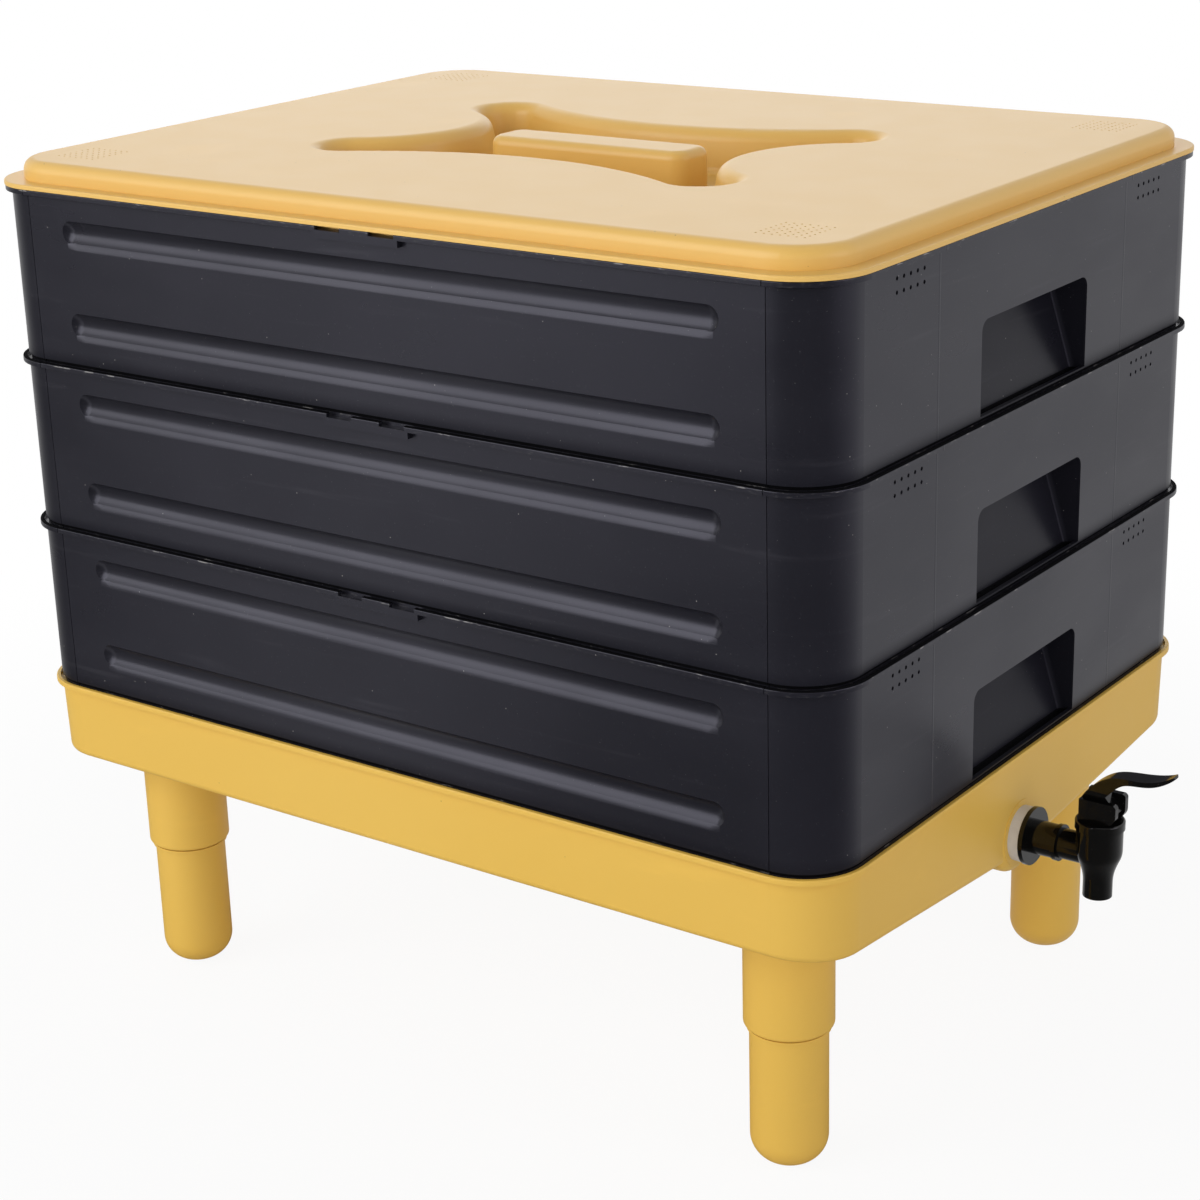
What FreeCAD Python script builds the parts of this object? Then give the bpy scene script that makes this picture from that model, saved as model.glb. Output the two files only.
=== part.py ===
"""Stacked worm composter: a lid, nesting trays with slotted floors, a draining base on legs, and a tap."""
import FreeCAD
import Part
import math
import os

Vector = FreeCAD.Vector
UP = Vector(0, 0, 1)

# Trays, measured outside the walls (all sizes in millimetres)
TRAY_LENGTH = 520.0
TRAY_WIDTH = 393.0
TRAY_PITCH = 93.4
TRAY_COUNT = 3
CORNER_RADIUS = 31.0
WALL = 2.4
NEST_DEPTH = 2.2
NEST_GAP = 1.2
FOOT_STEP_DEPTH = 1.2
FOOT_STEP_SHOWN = 1.4
LIP_WIDTH = 3.4
LIP_HEIGHT = 2.8
LIP_FLARE = 1.0
LIP_ROUND = 0.8

# Joints between a tray's panels and end walls
SEAM_GAP = 0.4
HOOK_LENGTH = 14.0
HOOK_THICKNESS = 2.0
HOOK_GAP = 0.2
HOOK_CLEAR_LOW = 12.0
HOOK_CLEAR_HIGH = 14.0

# Grooves pressed into the long panels
GROOVE_WIDTH = 12.6
GROOVE_DEPTH = 3.0
GROOVE_FROM_SEAM = 24.0
GROOVE_BELOW_RIM = 21.0
GROOVE_ABOVE_FOOT = 25.2

# Clip seat in the middle of each long panel's rim
CLIP_PAD_WIDTH = 54.0
CLIP_PAD_HEIGHT = 6.2
CLIP_NOTCH_WIDTH = 15.8
CLIP_TONGUE_WIDTH = 18.0

# Hand recesses in the end walls, each closed below by a low sill
HAND_WIDTH = 112.0
HAND_BELOW_RIM = 44.2
HAND_DEPTH_TOP = 23.0
HAND_DEPTH_FOOT = 7.5
HAND_CORNER = 6.0
HAND_BACK_ROUND = 3.0
HAND_SILL = 4.6

# Air holes in the end walls, and the stiffening ribs beside them
VENT_ROWS = 2
VENT_COLUMNS = 5
VENT_PITCH_Y = 6.2
VENT_PITCH_Z = 6.4
VENT_RADIUS = 1.1
VENT_BELOW_RIM = 8.3
VENT_FROM_CENTRE = 125.0
RIB_FROM_CENTRE = 98.0
RIB_THICKNESS = 2.0
RIB_DEPTH = 4.0

# Slotted floors
FLOOR_THICKNESS = 2.4
FLOOR_RISE = 6.0
FLOOR_GAP = 0.4
LEDGE_WIDTH = 4.5
LEDGE_THICKNESS = 2.4
SLOT_WIDTH = 6.0
SLOT_LENGTH = 76.0
SLOT_COLUMNS = 5
SLOT_ROWS = 13
FLOOR_MARGIN = 26.0

# Draining base
BASE_HEIGHT = 44.8
BASE_TAPER = 1.0
BASE_EDGE_ROUND = 4.0
BASE_SKIRT = 12.0
GUTTER_FALL_FAR = 10.0
GUTTER_FALL_TAP = 17.7

# Legs
LEG_INSET = 53.7
LEG_LOWER_DIAMETER = 40.0
LEG_UPPER_DIAMETER = 46.0
LEG_LOWER_LENGTH = 77.0
LEG_UPPER_LENGTH = 57.0
LEG_OVERLAP = 32.0
LEG_WALL = 2.2
LEG_FIT = 0.15
LEG_COLLAR = 1.3
LEG_JOINT_GAP = 0.6
LEG_NECK_OVERLAP = 0.2
LEG_SLEEVE_ROUND = 2.2
FOOT_ROUND = 15.0
SOCKET_STEP = 1.35
SOCKET_DEPTH = 22.0
SOCKET_DROP = 6.7

# Lid
LID_OVERHANG = 3.8
LID_RISE = 12.8
FLANGE_THICKNESS = 2.4
PANEL_INSET = 8.8
PANEL_CORNER = 31.0
SHOULDER_ROUND = 6.0
LID_RIB_GAP = 0.8
LID_RIB_DEPTH = 8.0
LID_RIB_THICKNESS = 2.0

# Lobed finger well in the lid, and the grip bar that stands in it
LOBE_X = 113.0
LOBE_Y = 69.0
LOBE_RADIUS = 16.5
WAIST_X = 89.0
WAIST_Y = 54.0
WELL_DEPTH = 24.0
WELL_TAPER = 4.0
WELL_EDGE_ROUND = 8.0
WELL_GUSSET = 5.0
WELL_FLOOR_ROUND = 5.0
BAR_LENGTH = 128.0
BAR_WIDTH = 30.0
BAR_CORNER = 9.0
BAR_EDGE_ROUND = 5.0

# Tap: the shank runs along X through the base's end wall
TAP_BELOW_RIM = 48.0
TAP_REACH = 36.0
THREAD_DIAMETER = 15.8
WATERWAY_DIAMETER = 10.0
TAP_HOLE_GAP = 0.3
TAP_BOSS_DIAMETER = 36.0
TAP_BOSS_THICKNESS = 4.0
TAP_BOSS_PROUD = 0.6
BULGE_DIAMETER = 44.0
BULGE_LENGTH = 12.0
BULGE_ROUND = 6.0
WASHER_DIAMETER = 29.6
WASHER_THICKNESS = 3.0
TAP_FLANGE_DIAMETER = 31.0
TAP_FLANGE_THICKNESS = 2.4
SHANK_DIAMETER = 18.0
SHANK_COLLAR_DIAMETER = 19.4
SHANK_COLLAR_LENGTH = 2.4
SHANK_COLLAR_PLACE = 0.36
SHANK_NECK_DIAMETER = 16.0
NUT_ACROSS_FLATS = 19.8
NUT_THICKNESS = 5.0
TAIL_END = 3.0
TAP_BODY_DIAMETER = 24.0
BODY_FULL_ABOVE_AXIS = 2.5
NOZZLE_DIAMETER = 15.2
NOZZLE_BORE = 11.0
NOZZLE_LENGTH = 7.5
BODY_BELOW_AXIS = 24.0
BODY_ABOVE_AXIS = 14.0
CHAMBER_DIAMETER = 17.2
SEAT_BELOW_AXIS = 8.0
SEAT_THICKNESS = 2.5
SEAT_HOLE = 9.0
BONNET_DIAMETER = 25.6
BONNET_HEIGHT = 4.7
BONNET_EDGE_ROUND = 1.0
BONNET_ROOF = 1.0
BONNET_PLUG_DEPTH = 4.5
BONNET_PLUG_GAP = 0.1
EAR_HEIGHT = 11.8
EAR_TALLER = 2.2
EAR_GAP = 8.4
EAR_THICKNESS = 3.3
EAR_REAR = 8.8
EAR_ROUND = 5.9
EAR_CORNER = 2.0

# Valve inside the tap
STEM_DIAMETER = 5.04
STEM_BORE = 5.2
STEM_COLLAR = 1.2
STEM_SHOULDER = 1.5
PIVOT_OFFSET = 5.6
TRUNNION_DIAMETER = 3.0
TRUNNION_GAP = 0.06
TRUNNION_WALL = 0.6
CROSS_PIN_DIAMETER = 2.2
CROSS_PIN_GAP = 0.25
CROSS_PIN_SHORT = 0.3
LEVER_WIDTH = 8.0
LEVER_REACH = 34.8
LEVER_REAR = 15.3
LEVER_HUB = 4.7
LEVER_TRAVEL_DEG = 25.0
BLADE_THICKNESS = 2.6
BLADE_WIDTH = 3.2
CUP_DIAMETER = 12.4
CUP_HEIGHT = 4.0
CUP_ROUND = 0.8
SPRING_DIAMETER = 8.6
SPRING_ROOM = 0.4
SPRING_WIRE = 0.8
SPRING_TURNS = 5
SPRING_GAP = 0.15

# Levels and half sizes that follow from the sizes above
half_x = TRAY_LENGTH / 2
half_y = TRAY_WIDTH / 2
seam_x = half_x - CORNER_RADIUS
tray_height = TRAY_PITCH + NEST_DEPTH
socket_z = LEG_LOWER_LENGTH + LEG_UPPER_LENGTH
base_edge_z = socket_z + SOCKET_DROP
base_rim_z = base_edge_z + BASE_HEIGHT
tray_foot_z = base_rim_z - NEST_DEPTH
tray_rim_z = tray_foot_z + tray_height
top_rim_z = base_rim_z + TRAY_COUNT * TRAY_PITCH
lid_top_z = top_rim_z + LID_RISE
leg_x = half_x - LEG_INSET
leg_y = half_y - LEG_INSET
socket_radius = LEG_UPPER_DIAMETER / 2 - SOCKET_STEP
tap_z = base_rim_z - TAP_BELOW_RIM
boss_face_x = half_x - BASE_TAPER + TAP_BOSS_PROUD
flange_x = boss_face_x + 2 * WASHER_THICKNESS
tap_x = flange_x + TAP_FLANGE_THICKNESS + TAP_REACH
nozzle_z = tap_z - BODY_BELOW_AXIS
seat_z = tap_z - SEAT_BELOW_AXIS
bonnet_z = tap_z + BODY_ABOVE_AXIS
ear_z = bonnet_z + BONNET_HEIGHT
pivot_x = tap_x + PIVOT_OFFSET
pivot_z = ear_z + EAR_HEIGHT / 2
lid_half_x = half_x + LID_OVERHANG
lid_half_y = half_y + LID_OVERHANG
# The origin is on the ground, in the middle of the whole outline, tap lever included
origin_x = (pivot_x + LEVER_REACH - lid_half_x) / 2

# The lever's side view, as (along, up) from its pivot: over the top from the rear, and back underneath
LEVER_TOP = (
    (-LEVER_REAR, 4.4),
    (-11.6, 10.0),
    (-5.8, 15.6),
    (0.6, 19.3),
    (7.1, 20.8),
    (16.8, 21.5),
    (28.0, 23.8),
    (33.8, 26.5),
)
LEVER_UNDERSIDE = (
    (LEVER_REACH, 25.6),
    (29.0, 21.8),
    (23.5, 19.8),
    (13.8, 18.4),
    (8.0, 16.9),
    (3.4, 13.4),
    (-1.6, 8.0),
)
# Half the lever's width at places along it
LEVER_PLAN = ((-17.0, 4.0), (-4.0, 4.4), (8.0, 5.4), (18.0, 6.0), (27.5, 5.2), (33.3, 3.4))


def box(low, high):
    """A block between two opposite corners."""
    size = [b - a for a, b in zip(low, high)]
    return Part.makeBox(size[0], size[1], size[2], Vector(*low))


def rod(radius, start, end):
    """A round bar from one point to another."""
    axis = Vector(*end) - Vector(*start)
    return Part.makeCylinder(radius, axis.Length, Vector(*start), axis)


def arc(centre, radius, start_deg, end_deg, z):
    """An arc in a level plane, from one angle to another, anticlockwise when end is larger."""
    middle = (start_deg + end_deg) / 2
    points = []
    for degrees in (start_deg, middle, end_deg):
        turn = math.radians(degrees)
        points.append(Vector(centre[0] + radius * math.cos(turn), centre[1] + radius * math.sin(turn), z))
    return Part.Arc(*points).toShape()


def rounded_outline(reach_x, reach_y, radius, z):
    """A rectangle with round corners, centred on the axis."""
    x = reach_x - radius
    y = reach_y - radius
    corners = ((x, -y, -90), (x, y, 0), (-x, y, 90), (-x, -y, 180))
    arcs = [arc((cx, cy), radius, turn, turn + 90, z) for cx, cy, turn in corners]
    edges = []
    for index, piece in enumerate(arcs):
        following = arcs[(index + 1) % len(arcs)]
        edges.append(piece)
        edges.append(Part.LineSegment(piece.Vertexes[-1].Point, following.Vertexes[0].Point).toShape())
    return Part.Wire(edges)


def rounded_block(reach_x, reach_y, radius, low_z, high_z):
    """A block with round upright corners."""
    face = Part.Face(rounded_outline(reach_x, reach_y, radius, low_z))
    return face.extrude(Vector(0, 0, high_z - low_z))


def flared_block(low, high):
    """A block with round corners whose sides lean; each end is (reach_x, reach_y, radius, z)."""
    return Part.makeLoft([rounded_outline(*low), rounded_outline(*high)], True, True)


def tray_block(grow, low_z, high_z):
    """The trays' outline as a block, set out or in by grow."""
    return rounded_block(half_x + grow, half_y + grow, CORNER_RADIUS + grow, low_z, high_z)


def turned(shape):
    """The same piece on the opposite side."""
    copy = shape.copy()
    copy.rotate(Vector(0, 0, 0), UP, 180)
    return copy


def lathe(points, centre, axis=UP):
    """A solid turned about an upright axis from (radius, height) points."""
    path = [Vector(centre[0] + radius, centre[1], height) for radius, height in points]
    path.append(path[0])
    face = Part.Face(Part.makePolygon(path))
    return face.revolve(Vector(centre[0], centre[1], 0), axis, 360)


def edges_at(shape, test):
    """The edges whose box passes the test."""
    return [edge for edge in shape.Edges if test(edge.BoundBox)]


def rim_lip(rim_z):
    """The lip round a rim: a flared collar with a step inside where the next tray sits."""
    low = rim_z - LIP_HEIGHT
    flare = flared_block(
        (half_x, half_y, CORNER_RADIUS, low - LIP_FLARE),
        (half_x + LIP_WIDTH, half_y + LIP_WIDTH, CORNER_RADIUS + LIP_WIDTH, low),
    )
    lip = flare.fuse(tray_block(LIP_WIDTH, low, rim_z)).removeSplitter()
    outer_top = edges_at(lip, lambda b: b.ZMin > rim_z - 0.01)
    lip = lip.makeFillet(LIP_ROUND, outer_top)
    lip = lip.cut(tray_block(NEST_GAP, rim_z - NEST_DEPTH, rim_z + 1))
    return lip.cut(tray_block(-WALL, low - LIP_FLARE - 1, rim_z))


def tray_shell():
    """The four walls of the lowest tray with their lip and stepped foot, not yet parted at the seams."""
    step_z = tray_foot_z + NEST_DEPTH + FOOT_STEP_SHOWN
    wall = tray_block(0, step_z, tray_rim_z - NEST_DEPTH)
    wall = wall.fuse(tray_block(-FOOT_STEP_DEPTH, tray_foot_z, step_z))
    wall = wall.cut(tray_block(-WALL, tray_foot_z - 1, tray_rim_z))
    return wall.fuse(rim_lip(tray_rim_z)).removeSplitter()


def groove(z, grow):
    """A bar with ball ends lying just outside the front panel, which cuts or backs one groove."""
    radius = (GROOVE_WIDTH ** 2 / 4 + GROOVE_DEPTH ** 2) / (2 * GROOVE_DEPTH)
    y = -half_y - radius + GROOVE_DEPTH
    end = seam_x - GROOVE_FROM_SEAM - GROOVE_WIDTH / 2
    shape = rod(radius + grow, (-end, y, z), (end, y, z))
    for side in (-1, 1):
        shape = shape.fuse(Part.makeSphere(radius + grow, Vector(side * end, y, z)))
    return shape


def hook_tongue(side, low_z, high_z):
    """The strip on an end wall that reaches behind the front panel."""
    inner = -half_y + WALL + HOOK_GAP
    start = side * (seam_x - HOOK_LENGTH)
    finish = side * (seam_x + CORNER_RADIUS / 4)
    return box(
        (min(start, finish), inner, low_z),
        (max(start, finish), inner + HOOK_THICKNESS, high_z),
    )


def hook_channel(side, low_z, high_z):
    """The L-shaped rib on the front panel that holds an end wall's tongue."""
    inner = -half_y + WALL
    deep = inner + HOOK_GAP + HOOK_THICKNESS
    stop = seam_x - HOOK_LENGTH - 1.4
    foot = box((stop - WALL, inner, low_z), (stop, deep + WALL, high_z))
    flap = box((stop - WALL, deep, low_z), (stop + 0.6 * HOOK_LENGTH, deep + WALL, high_z))
    channel = foot.fuse(flap).removeSplitter()
    return channel if side > 0 else channel.mirror(Vector(0, 0, 0), Vector(1, 0, 0))


def panel_front(shell):
    """The front panel: grooved wall, lip with a clip seat, floor ledge and the two channels."""
    end = seam_x - SEAM_GAP / 2
    panel = shell.common(box((-end, -half_y - LIP_WIDTH - 1, tray_foot_z), (end, 0, tray_rim_z)))
    skin = box((-end, -half_y, tray_foot_z), (end, 0, tray_rim_z - LIP_HEIGHT - LIP_FLARE))
    heights = (tray_rim_z - GROOVE_BELOW_RIM, tray_foot_z + GROOVE_ABOVE_FOOT)
    for z in heights:
        panel = panel.fuse(groove(z, WALL).common(skin))
    for z in heights:
        panel = panel.cut(groove(z, 0))
    ledge_top = tray_foot_z + FLOOR_RISE
    reach = seam_x - HOOK_LENGTH - 2 * WALL
    inner = -half_y + WALL
    ledge_low = ledge_top - LEDGE_THICKNESS
    panel = panel.fuse(box((-reach, inner, ledge_low), (reach, inner + LEDGE_WIDTH, ledge_top)))
    low = tray_foot_z + HOOK_CLEAR_LOW
    high = tray_rim_z - HOOK_CLEAR_HIGH
    for side in (-1, 1):
        panel = panel.fuse(hook_channel(side, low, high))
    outer = -half_y - LIP_WIDTH
    pad_low = (-CLIP_PAD_WIDTH / 2, outer, tray_rim_z - CLIP_PAD_HEIGHT)
    pad_high = (CLIP_PAD_WIDTH / 2, -half_y, tray_rim_z - LIP_HEIGHT)
    panel = panel.fuse(box(pad_low, pad_high))
    for side in (-1, 1):
        ends = (side * CLIP_TONGUE_WIDTH / 2, side * (CLIP_TONGUE_WIDTH / 2 + CLIP_NOTCH_WIDTH))
        notch_low = (min(ends), outer - 1, tray_rim_z - NEST_DEPTH)
        notch_high = (max(ends), -half_y + NEST_GAP, tray_rim_z + 1)
        panel = panel.cut(box(notch_low, notch_high))
    return panel.removeSplitter()


def hand_block(grow):
    """The wedge-shaped hand recess, widened by grow, with a floor one wall thick below it."""
    top = tray_rim_z - HAND_BELOW_RIM + grow
    low = tray_foot_z + WALL - grow
    outside = half_x + LIP_WIDTH
    path = [
        Vector(outside, 0, low),
        Vector(half_x - HAND_DEPTH_FOOT - grow, 0, low),
        Vector(half_x - HAND_DEPTH_TOP - grow, 0, top),
        Vector(outside, 0, top),
    ]
    path.append(path[0])
    reach = HAND_WIDTH / 2 + grow
    side = Part.Face(Part.makePolygon(path))
    side.translate(Vector(0, -reach, 0))
    wedge = side.extrude(Vector(0, 2 * reach, 0))
    corners = edges_at(wedge, lambda b: b.ZMin > top - 0.01 and b.YLength < 0.01)
    wedge = wedge.makeFillet(HAND_CORNER + grow, corners)
    back_x = half_x - HAND_DEPTH_FOOT - grow
    back = edges_at(wedge, lambda b: b.XMax < back_x + 0.01 and b.ZMax > low + 0.01)
    return wedge.makeFillet(HAND_BACK_ROUND + grow, back)


def vents():
    """The air holes of one end wall, as one group of six-sided pins."""
    pins = []
    for side in (-1, 1):
        for row in range(VENT_ROWS):
            for column in range(VENT_COLUMNS):
                y = side * VENT_FROM_CENTRE + (column - (VENT_COLUMNS - 1) / 2) * VENT_PITCH_Y
                z = tray_rim_z - VENT_BELOW_RIM - row * VENT_PITCH_Z
                corners = []
                for step in range(7):
                    turn = math.radians(60 * step)
                    offset = Vector(0, VENT_RADIUS * math.cos(turn), VENT_RADIUS * math.sin(turn))
                    corners.append(Vector(half_x - WALL - 1, y, z) + offset)
                pins.append(Part.Face(Part.makePolygon(corners)).extrude(Vector(WALL + 2, 0, 0)))
    return Part.makeCompound(pins)


def end_right(shell):
    """The end wall with both corners, its hand recess, air holes, ribs, floor ledges and hook tongues."""
    start = seam_x + SEAM_GAP / 2
    outer_y = half_y + LIP_WIDTH + 1
    outer_x = half_x + LIP_WIDTH + 1
    wall = shell.common(box((start, -outer_y, tray_foot_z), (outer_x, outer_y, tray_rim_z)))
    inner = half_x - WALL
    inside = box((0, -half_y, tray_foot_z), (inner + FOOT_STEP_DEPTH / 2, half_y, tray_rim_z))
    wall = wall.fuse(hand_block(WALL).common(inside))
    sill = box((inner, -HAND_WIDTH, tray_foot_z), (outer_x, HAND_WIDTH, tray_foot_z + HAND_SILL))
    ledge_top = tray_foot_z + FLOOR_RISE
    ledge_near = HAND_WIDTH / 2 + WALL
    ledge_far = half_y - CORNER_RADIUS
    ledge_low = ledge_top - LEDGE_THICKNESS
    rib_low = ledge_top + FLOOR_THICKNESS + 1
    rib_high = tray_rim_z - HOOK_CLEAR_HIGH
    for side in (-1, 1):
        near = min(side * ledge_near, side * ledge_far)
        far = max(side * ledge_near, side * ledge_far)
        wall = wall.fuse(box((inner - LEDGE_WIDTH, near, ledge_low), (inner, far, ledge_top)))
        rib_y = side * RIB_FROM_CENTRE
        rib_low_y = rib_y - RIB_THICKNESS / 2
        rib_high_y = rib_y + RIB_THICKNESS / 2
        wall = wall.fuse(box((inner - RIB_DEPTH, rib_low_y, rib_low), (inner, rib_high_y, rib_high)))
        tongue = hook_tongue(1, tray_foot_z + HOOK_CLEAR_LOW, tray_rim_z - HOOK_CLEAR_HIGH)
        if side > 0:
            tongue = tongue.mirror(Vector(0, 0, 0), Vector(0, 1, 0))
        wall = wall.fuse(tongue.common(tray_block(-WALL / 2, tray_foot_z, tray_rim_z)))
    wall = wall.cut(hand_block(0).cut(sill))
    return wall.cut(vents()).removeSplitter()


def tray_floor():
    """The slotted floor, notched round the backs of the hand recesses."""
    low = tray_foot_z + FLOOR_RISE
    high = low + FLOOR_THICKNESS
    floor = tray_block(-WALL - FLOOR_GAP, low, high)
    lean = (HAND_DEPTH_TOP - HAND_DEPTH_FOOT) / (tray_height - HAND_BELOW_RIM)
    notch_x = half_x - HAND_DEPTH_FOOT - WALL - FLOOR_GAP - lean * (FLOOR_RISE + FLOOR_THICKNESS + 1)
    notch_y = HAND_WIDTH / 2 + WALL + FLOOR_GAP
    for side in (-1, 1):
        near = min(side * notch_x, side * half_x)
        far = max(side * notch_x, side * half_x)
        floor = floor.cut(box((near, -notch_y, low - 1), (far, notch_y, high + 1)))
    field_x = 2 * (notch_x - FLOOR_MARGIN / 2)
    field_y = TRAY_WIDTH - 2 * FLOOR_MARGIN
    slots = []
    for column in range(SLOT_COLUMNS):
        for row in range(SLOT_ROWS):
            x = (column + 0.5) * field_x / SLOT_COLUMNS - field_x / 2
            y = (row + 0.5) * field_y / SLOT_ROWS - field_y / 2
            near = (x - SLOT_LENGTH / 2, y - SLOT_WIDTH / 2, low - 1)
            far = (x + SLOT_LENGTH / 2, y + SLOT_WIDTH / 2, high + 1)
            slots.append(box(near, far))
    return floor.cut(Part.makeCompound(slots))


def gutter_block(lift, top_z):
    """Everything above the V-shaped underside, which falls to the middle and towards the tap."""
    reach_x = half_x + LIP_WIDTH
    reach_y = half_y + LIP_WIDTH
    edge_y = half_y - BASE_TAPER
    ends = []
    for x, fall in ((-reach_x, GUTTER_FALL_FAR), (reach_x, GUTTER_FALL_TAP)):
        low = base_edge_z - fall + lift
        side = low + fall * reach_y / edge_y
        path = [
            Vector(x, -reach_y, top_z),
            Vector(x, -reach_y, side),
            Vector(x, 0, low),
            Vector(x, reach_y, side),
            Vector(x, reach_y, top_z),
        ]
        path.append(path[0])
        ends.append(Part.makePolygon(path))
    return Part.makeLoft(ends, True, True)


def base_body(grow, low_z, high_z):
    """The base's leaning walls as a block, set in by a negative grow."""
    lean = BASE_TAPER / (BASE_HEIGHT - NEST_DEPTH)
    step_z = base_rim_z - NEST_DEPTH
    low = grow - lean * (step_z - low_z)
    high = grow - lean * (step_z - high_z)
    return flared_block(
        (half_x + low, half_y + low, CORNER_RADIUS + low, low_z),
        (half_x + high, half_y + high, CORNER_RADIUS + high, high_z),
    )


def leg_places():
    """Names and centres of the legs."""
    return (
        ("front_left", -leg_x, -leg_y),
        ("front_right", leg_x, -leg_y),
        ("back_left", -leg_x, leg_y),
        ("back_right", leg_x, leg_y),
    )


def collector_base():
    """The base: lip, leaning walls, V-shaped floor, leg sockets and the boss with the tap's hole."""
    low_z = base_edge_z - GUTTER_FALL_TAP - BASE_SKIRT
    step_z = base_rim_z - NEST_DEPTH
    outer = base_body(0, low_z, step_z).common(gutter_block(0, step_z))
    underside = edges_at(outer, lambda b: b.ZMax < base_edge_z + 1 and b.YMax * b.YMin > 1)
    outer = outer.makeFillet(BASE_EDGE_ROUND, underside)
    bulge = rod(BULGE_DIAMETER / 2, (boss_face_x - BULGE_LENGTH, 0, tap_z), (boss_face_x, 0, tap_z))
    bulge = bulge.makeFillet(BULGE_ROUND, edges_at(bulge, lambda b: b.XMin > boss_face_x - 0.01))
    outer = outer.fuse(bulge)
    boss = rod(TAP_BOSS_DIAMETER / 2, (boss_face_x - TAP_BOSS_THICKNESS, 0, tap_z), (boss_face_x, 0, tap_z))
    inner = base_body(-WALL, low_z, step_z + 1).common(gutter_block(WALL, step_z + 1))
    inner = inner.cut(boss)
    base = outer.fuse(boss)
    base = base.cut(inner).fuse(rim_lip(base_rim_z)).removeSplitter()
    for name, x, y in leg_places():
        base = base.fuse(rod(socket_radius + WALL, (x, y, socket_z), (x, y, socket_z + SOCKET_DEPTH + WALL)))
    for name, x, y in leg_places():
        base = base.cut(rod(socket_radius, (x, y, socket_z - 1), (x, y, socket_z + SOCKET_DEPTH)))
    hole = THREAD_DIAMETER / 2 + TAP_HOLE_GAP
    return base.cut(rod(hole, (boss_face_x - TAP_BOSS_THICKNESS - 1, 0, tap_z), (boss_face_x + 1, 0, tap_z)))


def leg_lower(x, y):
    """The lower tube of a leg: domed foot, collar and the plain end that slips up into the sleeve."""
    radius = LEG_LOWER_DIAMETER / 2
    top = LEG_LOWER_LENGTH + LEG_OVERLAP
    collar_high = LEG_LOWER_LENGTH - LEG_JOINT_GAP
    collar_low = collar_high - LEG_COLLAR
    outside = lathe(((0, 0), (radius, 0), (radius, top), (0, top)), (x, y))
    foot = edges_at(outside, lambda b: b.ZMax < 0.01)
    outside = outside.makeFillet(FOOT_ROUND, foot)
    hollow = radius - LEG_WALL
    inside = lathe(((0, LEG_WALL), (hollow, LEG_WALL), (hollow, top + 1), (0, top + 1)), (x, y))
    inside = inside.makeFillet(FOOT_ROUND - LEG_WALL, edges_at(inside, lambda b: b.ZMax < LEG_WALL + 0.01))
    collar = rod(radius + LEG_COLLAR, (x, y, collar_low), (x, y, collar_high))
    return outside.fuse(collar).cut(inside).removeSplitter()


def leg_upper(x, y):
    """The upper sleeve of a leg: it takes the lower tube from below and plugs into the base."""
    radius = LEG_UPPER_DIAMETER / 2
    bore = LEG_LOWER_DIAMETER / 2 + LEG_FIT
    low = LEG_LOWER_LENGTH
    stop = low + LEG_OVERLAP
    plug = socket_radius - LEG_FIT
    throat = LEG_LOWER_DIAMETER / 2 - LEG_WALL / 2
    top = socket_z + SOCKET_DEPTH - 2 * LEG_FIT
    sleeve = lathe(((bore, low), (radius, low), (radius, socket_z), (bore, socket_z)), (x, y))
    mouth = edges_at(sleeve, lambda b: b.ZMax < low + 0.01 and b.XLength > 2 * bore + 1)
    sleeve = sleeve.makeFillet(LEG_SLEEVE_ROUND, mouth)
    joined = bore + LEG_NECK_OVERLAP
    neck = ((throat, stop), (joined, stop), (joined, socket_z), (plug, socket_z), (plug, top), (throat, top))
    return sleeve.fuse(lathe(neck, (x, y))).removeSplitter()


def lobed_outline(grow, z):
    """A four-lobed outline of eight smooth arcs: a lobe near each corner and a waist on each side."""
    lobe = LOBE_RADIUS + grow
    waist_y = WAIST_Y + grow
    waist_x = WAIST_X + grow
    dy = waist_y - LOBE_Y
    dx = waist_x - LOBE_X
    long_radius = (LOBE_X ** 2 + dy ** 2 - lobe ** 2) / (2 * (lobe - dy))
    short_radius = (LOBE_Y ** 2 + dx ** 2 - lobe ** 2) / (2 * (lobe - dx))
    long_centre = waist_y + long_radius
    short_centre = waist_x + short_radius
    long_turn = math.degrees(math.atan2(long_centre - LOBE_Y, -LOBE_X))
    short_turn = math.degrees(math.atan2(-LOBE_Y, short_centre - LOBE_X))
    edges = []
    edges.append(arc((short_centre, 0), short_radius, 180 + short_turn, 180 - short_turn, z))
    edges.append(arc((LOBE_X, LOBE_Y), lobe, short_turn, long_turn, z))
    edges.append(arc((0, long_centre), long_radius, long_turn - 180, -long_turn, z))
    edges.append(arc((-LOBE_X, LOBE_Y), lobe, 180 - long_turn, 180 - short_turn, z))
    edges.append(arc((-short_centre, 0), short_radius, short_turn, -short_turn, z))
    edges.append(arc((-LOBE_X, -LOBE_Y), lobe, 180 + short_turn, 180 + long_turn, z))
    edges.append(arc((0, -long_centre), long_radius, long_turn, 180 - long_turn, z))
    edges.append(arc((LOBE_X, -LOBE_Y), lobe, -long_turn, -short_turn, z))
    return Part.Wire(Part.__sortEdges__(edges))


def well_block(grow, low_z, high_z):
    """The finger well as a block with leaning sides, widened by grow."""
    slope = WELL_TAPER / WELL_DEPTH
    low = grow - slope * (lid_top_z - low_z)
    high = grow - slope * (lid_top_z - high_z)
    return Part.makeLoft([lobed_outline(low, low_z), lobed_outline(high, high_z)], True, True)


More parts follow.
